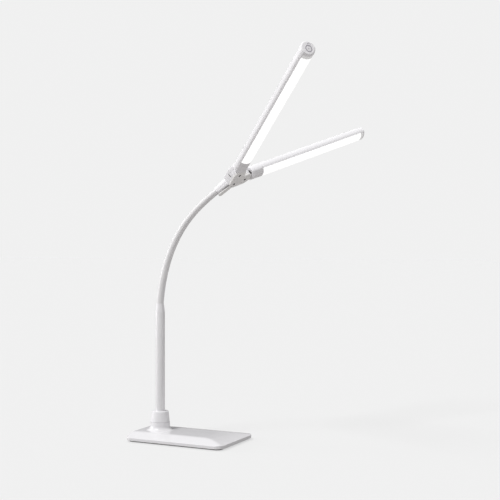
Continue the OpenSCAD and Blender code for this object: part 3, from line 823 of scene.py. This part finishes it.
def flank(hub):
    """The heading in radians of the hub's far flank: the tangent from the web's rear corner to the lobe's
    circle."""
    to_lobe = np.array([hub.web, hub.gap / 2 - hub.web_half])
    return math.atan2(to_lobe[1], to_lobe[0]) + math.asin(hub.lobe / np.linalg.norm(to_lobe))


def hub_outline(hub, count=60):
    """The hub's plan, anticlockwise: the far lobe's arc, a flank that leaves the lobe's circle along its
    tangent, the web's rear edge with round corners, the other flank, and the near lobe's arc."""
    r, front = hub.lobe, 0.002
    start = math.atan2(-math.sqrt(r * r - front * front), front)
    angle = np.linspace(start, flank(hub) + math.pi / 2, count)
    far = np.stack([r * np.cos(angle), hub.gap / 2 + r * np.sin(angle)], 1)
    mirror = np.array([1, -1])
    corner = np.array([-hub.web, hub.web_half])
    rear = rounded([far[-1], corner, corner * mirror, far[-1] * mirror], 0.0015, 6, closed=False)
    return np.concatenate([far[:-1], rear, (far[:-1] * mirror)[::-1]])


def boss_skin(hub, neck, place):
    """The tapered boss round the neck's end: a ring turned about the neck's axis. Its lower half is pushed
    out towards a square section, by a share of the squared sine of twice the angle, and its points are
    lifted to the joint with the plate wherever they would hang below it."""
    back, front = -hub.reach + hub.boss, -0.020
    bore = neck.high / 2 + 0.00005
    profile = rounded([[bore, back], [neck.high / 2 + 0.0014, back], [hub.high - hub.rise, front],
                       [bore, front]], [0.0003, 0.0009, 0, 0], 5)
    rings = turned_rings(profile, 112)
    far_out = np.linalg.norm(rings[..., :2], axis=-1)
    below = np.minimum(rings[..., 1] / far_out, 0)
    bulge = 1 + hub.flat_side * (2 * below * rings[..., 0] / far_out) ** 2 * (far_out > bore + 0.0003)
    lifted = np.maximum(rings[..., 1] * bulge, -hub.split - hub.rise)
    return ring_loft(place.moved(z=hub.rise)(np.stack([rings[..., 2], rings[..., 0] * bulge, lifted], -1)))


def slot_skin(hub, place, side):
    """A block for the relief slot in one flank, set square to it."""
    turn, half_wide, deep = flank(hub), 0.0009, 0.0015
    along = np.array([math.cos(turn), math.sin(turn)])
    out = np.array([-along[1], along[0]])
    centre = np.array([-hub.web, hub.web_half]) + along * hub.slot
    corners = ((-1, -1), (1, -1), (1, 1), (-1, 1))
    flat = np.array([centre + along * a * half_wide + out * b * deep for a, b in corners]) * [1, side]
    return loft(place(np.array([np.insert(flat, 2, z, 1) for z in (-hub.slot_low, hub.slot_high)])))


class LAMP_OT_hub(bpy.types.Operator):
    """Builds the hub's cover and plate, and finishes its screws, pins and washers"""

    bl_idname = "lamp.hub"
    bl_label = "Hub"

    def execute(self, context):
        hub, neck, finish = context.scene.lamp_hub, context.scene.lamp_neck, context.scene.lamp_finish
        # Painted light: the hub's cover and boss get a lighter copy of the white plastic, for how light falls
        # on them.
        white = moulded_plastic("hub plastic painted lighter", shaded(finish.white, 1.06), 0.97)
        # Painted light: the plate and its tongue are coloured lighter than the white plastic, for the light
        # they get from below.
        grey = moulded_plastic("plate plastic painted lighter", finish.grey, 0.95, 0.42)
        # Painted shade: a near-black finish for the walls of the flank slots and the screw recesses, standing
        # for the shade inside them.
        dark = moulded_plastic("recess shade", (0.03, 0.028, 0.028), 0.7, 0.6)
        place = hub_place()
        outline, middle = hub_outline(hub), (-0.6 * hub.web, 0.0)
        lobes = [place.moved(y=side * hub.gap / 2) for side in (-1, 1)]
        form = slab(place, outline, middle, -hub.split, hub.high, 0.0002, hub.edge)
        cover = piece("hub_cover_skin", [form], "hub", ["hub_cover"])
        pocket = [[hub.lobe + 0.00001, -0.006], [hub.lobe + 0.00001, hub.pocket]]
        carve(dress(cover, white), [turned(pocket, 128, lobe) for lobe in lobes])
        # The slot walls are painted dark as shade.
        carve(cover, [slot_skin(hub, place, side) for side in (-1, 1)], dark)
        dress(piece("hub_boss", [boss_skin(hub, neck, place)], "hub"), white)
        form = slab(place, outline, middle, -hub.deep, -hub.split - 0.00005, 0.0007, 0.0002)
        plate = piece("hub_plate_skin", [form], "hub", ["hub_plate"])
        recess = [[hub.recess / 2, -0.009], [hub.recess / 2, -hub.deep + 0.002]]
        heads = [place.moved(x=-hub.rear_screw)] + lobes
        # The screw recess walls are painted dark as shade.
        carve(dress(plate, grey), [turned(recess, 48, head) for head in heads], dark)
        angle = np.linspace(math.pi / 2, 1.5 * math.pi, 25)
        end = np.stack([hub.tongue_half * np.cos(angle) - hub.tongue, hub.tongue_half * np.sin(angle)], 1)
        stadium = np.concatenate([end, end[[-1, 0]] + [hub.tongue - hub.web + 0.002, 0]])
        middle = (-0.036, 0.0)
        form = slab(place, stadium, middle, -hub.deep, -hub.deep + hub.tongue_thick, 0.0006, 0.0004)
        dress(piece("hub_tongue", [form], "hub"), grey)
        dress_nodes({"hub_screws": bare_metal("black screws", (0.03, 0.03, 0.032), 0.5, 0.2),
                     "pivot_pins": bare_metal("steel pins", (0.6, 0.6, 0.62), 0.25),
                     "friction_washers": moulded_plastic("washer plastic", (0.12, 0.12, 0.13), 0.8, 0.5)})
        return {"FINISHED"}


# ---- light bars

def half_round(radius, over, count):
    """The upper half of a circle as points, which goes past level by some degrees at both sides."""
    sweep = np.linspace(math.radians(-over), math.radians(180 + over), count)
    return np.stack([radius * np.cos(sweep), radius * np.sin(sweep)], -1)


def shallow_arc(half, lip, low, count):
    """An arc from lip to lip through the lowest line: its radius is the sum of the squares of its half width
    and its drop, over twice the drop."""
    drop = low - lip
    radius = (half ** 2 + drop ** 2) / (2 * drop)
    reach = math.asin(min(half / radius, 1.0))
    sweep = np.linspace(-reach, reach, count)
    return np.stack([radius * np.sin(sweep), radius - low - radius * np.cos(sweep)], -1)


def carried(place, sections, xs):
    """A closed skin through sections across a bar, each at its distance along it."""
    return loft(place(np.array([np.insert(section, 0, x, 1) for section, x in zip(sections, xs)])))


def root_outline(size, steps=56):
    """The root's section, anticlockwise: the tube's half-round with straight flanks down to the lips, and
    below them the diffuser's shallow arc."""
    r, flank = size.diameter / 2, size.diameter / 2 - 0.0006
    lower = shallow_arc(r - 0.0010, size.lip, size.diffuser_depth, steps)
    return np.concatenate([half_round(r, 3, steps), [[-flank, -size.lip]], lower, [[flank, -size.lip]]])


def root_skin(size, place, start, end, soft):
    """A stretch of the root: its section carried along the bar, and drawn in towards its middle over a
    quarter circle at the start."""
    outline, middle = root_outline(size), np.array([0.0, -0.001])
    turn = np.linspace(math.pi / 2, 0, 6)
    xs = [start, *(start + soft * (1 - np.sin(turn))), end]
    shrinks = [soft + 0.0004, *(soft * (1 - np.cos(turn))), 0.0]
    sections = [middle + (outline - middle) * (1 - 2 * shrink / size.diameter) for shrink in shrinks]
    return carried(place, sections, xs)


def knuckle_skins(size, hub, place):
    """The bar's root: a disc about the pivot with a raised rim that fills the hub's pocket, and the collar,
    with its end next to the lobe rounded."""
    bore, out, rim_in, flat = 0.0031, hub.lobe - 0.00015, 0.0078, size.disc_half
    rim = hub.pocket - 0.00015
    loop = [[bore, -flat], [out, -flat], [out, rim], [rim_in, rim], [rim_in, flat], [bore, flat]]
    disc = turned(rounded(loop, [0, 0.0003, 0.0003, 0, 0, 0], 4), 112, place, bored=True)
    return [disc, root_skin(size, place, hub.lobe + size.root_gap, size.root, 0.0009)]


def arm_skin(size, place):
    """The flat arm that joins the root's disc to its collar, in the gap between them, painted dark as the
    gap's shade.
    """
    half, flat = 0.0075, size.disc_half
    section = rounded([[-half, -flat], [half, -flat], [half, flat], [-half, flat]], 0.0005, 3)
    return carried(place, [section] * 2, (0.0095, size.root - 0.002))


def housing_skins(size, place):
    """The bar's tube: its closed root, then an open shell that ends in two lips, with a web across it that
    carries the lamps."""
    r, end = size.diameter / 2, size.length - size.cap
    root = root_skin(size, place, size.root + 0.00005, size.diffuser_start, 0.0001)
    xs = np.concatenate([[size.diffuser_start - 0.001], np.linspace(size.diffuser_start, end, 24)])
    grids = []
    for radius, over, lip in ((r, 3, r - 0.0006), (r - size.wall, 14, r - 0.0018)):
        section = np.concatenate([[[lip, -size.lip]], half_round(radius, over, 60), [[-lip, -size.lip]]])
        grids.append(place(np.array([np.insert(section, 0, x, 1) for x in xs])))
    half, low, high = 0.0110, 0.0006, 0.0020
    web = rounded([[-half, low], [half, low], [half, high], [-half, high]], 0.0001, 2)
    return [root, strip(*grids), carried(place, [web] * 2, (size.diffuser_start - 0.0005, end - 0.0002))]


def under_skin(size, place, start, end, ease=0.0006):
    """What closes the bar from below: a shallow arc under the lips, closed by a flat chord, carried along the
    bar and rounded where it ends."""
    half, lip, low = size.diameter / 2 - 0.0014, size.lip + 0.0003, size.diffuser_depth
    arc, middle = shallow_arc(half, lip, low, 48), np.array([0.0, -(lip + low) / 2])
    xs = [start, start + 0.3 * ease, *np.linspace(start + ease, end - ease, 21), end - 0.3 * ease, end]
    shrinks = [ease, 0.3 * ease, *[0.0] * 21, 0.3 * ease, ease]
    return carried(place, [middle + (arc - middle) * (1 - shrink / half) for shrink in shrinks], xs)


def face_place(size, place):
    """A frame on the slanted face of a bar's cap: its origin on the bar's axis, X along the bar's Y, Y up the
    face and Z out of it."""
    slant = math.tan(size.slant)
    x, y, z = place.turn
    norm = math.hypot(1, slant)
    origin = place([size.length - slant * size.diameter / 2, 0, 0])
    return Place(origin, y, (slant * x + z) / norm, (x - slant * z) / norm)


def cap_skin(size, place):
    """The bar's end cap: the root's section carried from the tube's end to a slanted plane, where it is drawn
    in towards its middle over a quarter circle. A point's place along the bar is the plane's there, less the
    radius times one less the angle's sine."""
    outline, middle, soft = root_outline(size), np.array([0.0, 0.001]), size.cap_soft

    def plane(section):
        return size.length - math.tan(size.slant) * (size.diameter / 2 - section[:, 1])

    sections, xs = [outline], [size.length - size.cap + 0.00005]
    for a in np.linspace(0, math.pi / 2, 8):
        sections.append(middle + (outline - middle) * (1 - 2 * soft * (1 - math.cos(a)) / size.diameter))
        xs.append(plane(sections[-1]) - soft * (1 - math.sin(a)))
    inner = middle + (outline - middle) * 0.7
    return carried(place, [*sections, inner], [*xs, plane(inner)])


def inlay(place, inner, outer, proud):
    """A thin flat ring, or a disc where inner is 0, let into a face and slightly proud of it."""
    low = -0.0004
    if inner:
        return turned([[inner, low], [outer, low], [outer, proud], [inner, proud]], 72, place, bored=True)
    core = 0.0002
    return turned([[core, low], [outer, low], [outer, proud], [core, proud]], 72, place)


class LAMP_OT_bars(bpy.types.Operator):
    """Builds both light bars: root, housing, diffuser, end cap and, on the near one, the touch area"""

    bl_idname = "lamp.bars"
    bl_label = "Light bars"

    def execute(self, context):
        size, hub, finish = context.scene.lamp_bar, context.scene.lamp_hub, context.scene.lamp_finish
        # Painted light: the housings, roots and caps get lighter copies of the white plastic, for how light
        # falls on them.
        white = moulded_plastic("bar plastic painted lighter", shaded(finish.white, 1.05), 0.97, 0.4)
        root = moulded_plastic("root plastic painted lighter", shaded(finish.white, 1.09), 0.97, 0.42)
        cap = moulded_plastic("cap plastic painted lighter", shaded(finish.white, 1.1), 0.98, 0.4)
        light = frosted_light("opal diffuser", finish.light, finish.glow)
        dim = frosted_light("unlit diffuser", finish.light, finish.glow * 0.25)
        # Painted shade: a near-black finish for the arm, standing for the shade in the gap between lobe and
        # collar.
        shade = moulded_plastic("joint shade", (0.06, 0.055, 0.055), 0.7, 0.6)
        boards = circuit_board("lamp board", (0.7, 0.7, 0.7), (0.5, 0.5, 0.5))
        beads = lamp_bead("lamp gel", (0.85, 0.62, 0.18))
        gap, cap_start = 0.0001, size.length - size.cap
        lit_end = cap_start - size.unlit
        for side in ("near", "far"):
            place = bar_place(side)
            lit = under_skin(size, place, size.diffuser_start + gap, lit_end - gap)
            unlit = under_skin(size, place, lit_end, cap_start + 0.0004)
            parts = [("knuckle", knuckle_skins(size, hub, place), "white_shell", root),
                     # The arm is painted dark as the gap's shade.
                     ("arm", [arm_skin(size, place)], "white_shell", shade),
                     ("housing", housing_skins(size, place), "white_shell", white),
                     ("diffuser", [lit], "diffuser_plastic", light),
                     ("diffuser_end", [unlit], "diffuser_plastic", dim),
                     ("end_cap", [cap_skin(size, place)], "white_shell", cap)]
            for part, skins, slot, material in parts:
                name = side + "_" + part
                replaced = [name] if name in NODES else []
                made = piece(name + "_skin" if replaced else name, skins, side + "_bar", replaced)
                dress(made, material)
            dress_nodes({side + "_led_board": boards, side + "_leds": beads})
        self.touch_area(size, finish)
        return {"FINISHED"}

    def touch_area(self, size, finish):
        """The ring with its dot, the face within it, the small ring above and the board behind them."""
        face, r, band = face_place(size, bar_place("near")), size.touch / 2, size.touch_band
        mode = face.moved(x=size.mode_side, y=size.mode_rise)
        under = face.moved(z=-size.board_deep)
        dot, board = 0.0007, 0.0088
        print_skins = [inlay(face, r - band, r, 0.00006), inlay(face, 0, dot, 0.00006)]
        parts = [("touch_ring", print_skins, "ring_grey",
                  moulded_plastic("ring print", finish.ring, 0.8, 0.3)),
                 ("touch_pad", [inlay(face, 0, r - band - 0.00005, 0.00003)], "touch_face",
                  moulded_plastic("touch face", finish.white, 0.95, 0.25)),
                 ("mode_window", [inlay(mode, size.mode / 2 - size.mode_band, size.mode / 2, 0.00005)],
                  "ring_grey",
                  moulded_plastic("mode window", (0.55, 0.54, 0.58), 0.9, 0.25)),
                 ("touch_board", [inlay(under, 0, board, 0.0006)], "board_green",
                  circuit_board("touch board", BOARD_GREEN, TRACK_GREEN))]
        for part, skins, slot, material in parts:
            dress(piece(part + "_skin", skins, "near_bar", ["near_" + part]), material)


# ---- stage

def dress_floor(material, grey, lit, seen_share, bounce):
    """Floor finish: what the camera sees is part glow and part lit surface, so that it keeps the lamp's
    shadow, and what lights the lamp is a plain darker floor."""
    tree = Tree(material)
    seen = tree.add("LightPath", {}, "Is Camera Ray")
    plain = tree.add("BsdfDiffuse", {"Color": tuple(bounce)})
    surface = tree.add("BsdfDiffuse", {"Color": (grey * (1 - seen_share) / lit,) * 3})
    glow = tree.add("Emission", {"Color": (grey,) * 3, "Strength": seen_share})
    both = tree.add("AddShader", {0: surface, 1: glow})
    mixed = tree.add("MixShader", {0: seen, 1: plain, 2: both})
    tree.add("OutputMaterial", {"Surface": mixed})


def studio_world(stage):
    """The room: even light for the surfaces, the pale backdrop for the camera, and for reflections a room
    that is dark along the horizon and bright overhead."""
    world = bpy.data.worlds.new("studio")
    tree = Tree(world)
    even, dark, bright, pale = (tree.add("Background", {"Color": (level,) * 3}) for level in
                                (stage.ambient, stage.horizon, stage.overhead, stage.backdrop))
    heading = tree.add("TexCoord", {}, "Generated")
    height = tree.add("SeparateXYZ", {0: heading}, "Z")
    room = tree.add("MixShader", {0: height.ramp(0.22, 0.55), 1: dark, 2: bright})
    glossy = tree.add("LightPath", {}, "Is Glossy Ray")
    lit = tree.add("MixShader", {0: glossy, 1: even, 2: room})
    camera = tree.add("LightPath", {}, "Is Camera Ray")
    seen = tree.add("MixShader", {0: camera, 1: lit, 2: pale})
    tree.add("OutputWorld", {"Surface": seen})
    return world


class LAMP_OT_stage(bpy.types.Operator):
    """Builds the floor, the lights and the camera"""

    bl_idname = "lamp.stage"
    bl_label = "Stage"

    def execute(self, context):
        scene, stage = context.scene, context.scene.lamp_stage
        scene.view_settings.view_transform = "Standard"
        suns = {"key": (stage.key, stage.key_rise, stage.key_side, stage.key_size),
                "window": (stage.window, stage.window_rise, stage.window_side, stage.window_size)}
        grid = np.linspace(-stage.floor, stage.floor, 3)
        x, y = np.meshgrid(grid, grid)
        mesh = bpy.data.meshes.new("floor")
        points = np.stack([x, y, 0 * x], -1).reshape(-1, 3)
        mesh.from_pydata(points.tolist(), [], quads(3, 3, wrap_columns=False).tolist())
        floor = bpy.data.objects.new("floor", mesh)
        scene.collection.objects.link(floor)
        material = bpy.data.materials.new("floor")
        lit = stage.ambient + sum(strength * math.sin(rise) for strength, rise, *_ in suns.values()) / math.pi
        dress_floor(material, stage.backdrop, lit, 0.7, stage.bounce)
        mesh.materials.append(material)
        scene.world = studio_world(stage)

        a = stage.azimuth
        ahead, right = np.array([-math.sin(a), math.cos(a), 0.0]), np.array([math.cos(a), math.sin(a), 0.0])
        lens = bpy.data.cameras.new("camera")
        lens.lens, lens.sensor_width = stage.lens, 36.0
        lens.clip_start, lens.clip_end = 0.05, 100.0
        camera = bpy.data.objects.new("camera", lens)
        camera.location = Vector(right * stage.aside - ahead * stage.distance + [0, 0, stage.height])
        camera.rotation_euler = (math.pi / 2, 0, a)
        scene.collection.objects.link(camera)
        scene.camera = camera

        for name, (strength, rise, side, angle) in suns.items():
            level = -right * math.cos(side) - ahead * math.sin(side)
            light = bpy.data.lights.new(name, "SUN")
            light.energy, light.angle = strength, angle
            lamp = bpy.data.objects.new(name, light)
            lamp.rotation_mode = "QUATERNION"
            source = level * math.cos(rise) + [0, 0, math.sin(rise)]
            lamp.rotation_quaternion = Vector(source).to_track_quat("Z", "Y")
            scene.collection.objects.link(lamp)
        return {"FINISHED"}


class LAMP_PT_panel(bpy.types.Panel):
    """Lists the lamp's pieces with their sizes and colours"""

    bl_label = "Desk lamp"
    bl_idname = "LAMP_PT_panel"
    bl_space_type = "VIEW_3D"
    bl_region_type = "UI"
    bl_category = "Desk lamp"

    def draw(self, context):
        for name, group in GROUPS.items():
            box = self.layout.box()
            box.label(text=name.replace("lamp_", "").title())
            for key in group.__annotations__:
                box.prop(getattr(context.scene, name), key)
        for operator in OPERATORS:
            self.layout.operator(operator.bl_idname)


OPERATORS = [LAMP_OT_base, LAMP_OT_stem, LAMP_OT_neck, LAMP_OT_hub, LAMP_OT_bars, LAMP_OT_stage]
CLASSES = [*GROUPS.values(), *OPERATORS, LAMP_PT_panel]


def register():
    for made in CLASSES:
        bpy.utils.register_class(made)
    for name, group in GROUPS.items():
        setattr(bpy.types.Scene, name, bpy.props.PointerProperty(type=group))


def unregister():
    for name in GROUPS:
        delattr(bpy.types.Scene, name)
    for made in reversed(CLASSES):
        bpy.utils.unregister_class(made)


def main():
    register()
    bpy.ops.lamp.base()
    bpy.ops.lamp.stem()
    bpy.ops.lamp.neck()
    bpy.ops.lamp.hub()
    bpy.ops.lamp.bars()
    bpy.ops.lamp.stage()


if __name__ == "__main__":
    main()
